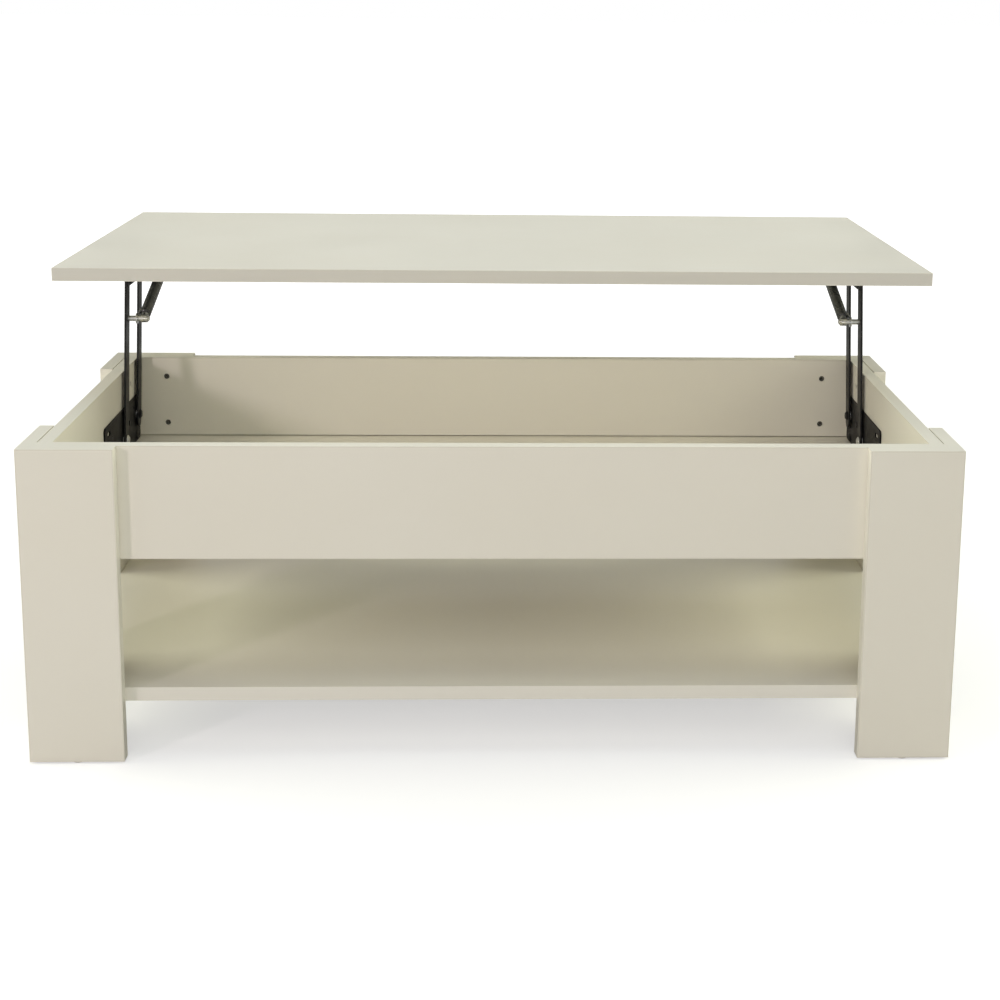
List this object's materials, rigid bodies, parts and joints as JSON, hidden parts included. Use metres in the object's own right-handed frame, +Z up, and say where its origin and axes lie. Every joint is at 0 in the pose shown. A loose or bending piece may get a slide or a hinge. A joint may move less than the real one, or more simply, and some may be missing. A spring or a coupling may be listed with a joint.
{
  "type": "lift top coffee table",
  "caption": "Coffee table with two-board corner legs, an open storage box, a lower shelf and a lid that swings up and back on parallel arms with gas struts.",
  "frame": {"origin": "on the floor, under the middle of the whole table's box with its lid raised", "axes": "+X to the right, +Y to the back, the way the lid moves as it rises, +Z up"},
  "size_m": [1.2, 0.8588, 0.594],
  "materials": {
    "ivory_board": "ivory melamine facing, satin",
    "black_steel": "satin black",
    "zinc": "bright zinc plating",
    "strut_grey": "semi-gloss grey",
    "chrome_rod": "polished",
    "beech": "raw beech",
    "nylon": "matte",
    "rubber": "matte"
  },
  "bodies": {
    "frame": {"leg_front_left_face": "ivory_board", "leg_front_left_side": "ivory_board", "leg_front_right_face": "ivory_board", "leg_front_right_side": "ivory_board", "leg_rear_left_face": "ivory_board", "leg_rear_left_side": "ivory_board", "leg_rear_right_face": "ivory_board", "leg_rear_right_side": "ivory_board", "front_apron": "ivory_board", "rear_apron": "ivory_board", "left_panel": "ivory_board", "right_panel": "ivory_board", "storage_floor": "ivory_board", "lower_shelf": "ivory_board", "foot_glides": "nylon", "leg_bolts": "black_steel", "leg_inserts": "zinc", "leg_dowels": "beech", "box_screws": "zinc", "shelf_cams": "zinc", "shelf_cam_bolts": "zinc", "lift_base_left": "black_steel", "lift_base_right": "black_steel", "base_screws": "black_steel", "front_pivot_pins": "zinc", "rear_pivot_pins": "black_steel", "arm_washers": "zinc", "stop_pins": "black_steel"},
    "front_arms": {"front_arm_left": "black_steel", "front_arm_right": "black_steel", "strut_pins": "zinc"},
    "rear_arms": {"rear_arm_left": "black_steel", "rear_arm_right": "black_steel"},
    "lid": {"lid": "ivory_board", "lid_rail_left": "black_steel", "lid_rail_right": "black_steel", "rail_screws": "zinc", "upper_pivot_pins": "black_steel", "strut_bracket_left": "black_steel", "strut_bracket_right": "black_steel", "bracket_rivets": "zinc", "lid_bumpers": "rubber"},
    "strut_tubes": {"strut_tube_left": "strut_grey", "strut_tube_right": "strut_grey", "strut_sockets": "zinc", "strut_glands": "rubber"},
    "strut_rods": {"strut_rod_left": "chrome_rod", "strut_rod_right": "chrome_rod", "strut_pistons": "rubber", "strut_rod_studs": "zinc"}
  },
  "joints": [
    {"name": "lift", "type": "hinge", "parent": "frame", "child": "front_arms", "pos_m": [0, -0.01037, 0.3125], "axis": [1, 0, 0], "range_deg": [0, 83.9]},
    {"name": "lid_level", "type": "hinge", "parent": "front_arms", "child": "lid", "pos_m": [0, 0.03485, 0.54515], "axis": [1, 0, 0], "range_deg": [-84, 0]},
    {"name": "rear_arm_swing", "type": "hinge", "parent": "frame", "child": "rear_arms", "pos_m": [0, 0.08063, 0.3295], "axis": [1, 0, 0], "range_deg": [0, 84]},
    {"name": "strut_swing", "type": "hinge", "parent": "front_arms", "child": "strut_tubes", "pos_m": [0, 0.02378, 0.48821], "axis": [1, 0, 0], "range_deg": [-91, 0]},
    {"name": "strut_slide", "type": "slide", "parent": "strut_tubes", "child": "strut_rods", "axis": [0, 0.9522, 0.3054], "range_m": [-0.078, 0]}
  ],
  "couplings": [
    {"joint": "lid_level", "follows": "lift", "ratio": -1},
    {"joint": "rear_arm_swing", "follows": "lift", "ratio": 1},
    {"joint": "strut_swing", "follows": "lift", "ratio": -1.0782},
    {"joint": "strut_slide", "follows": "lift", "m_per_rad": -0.050871}
  ]
}
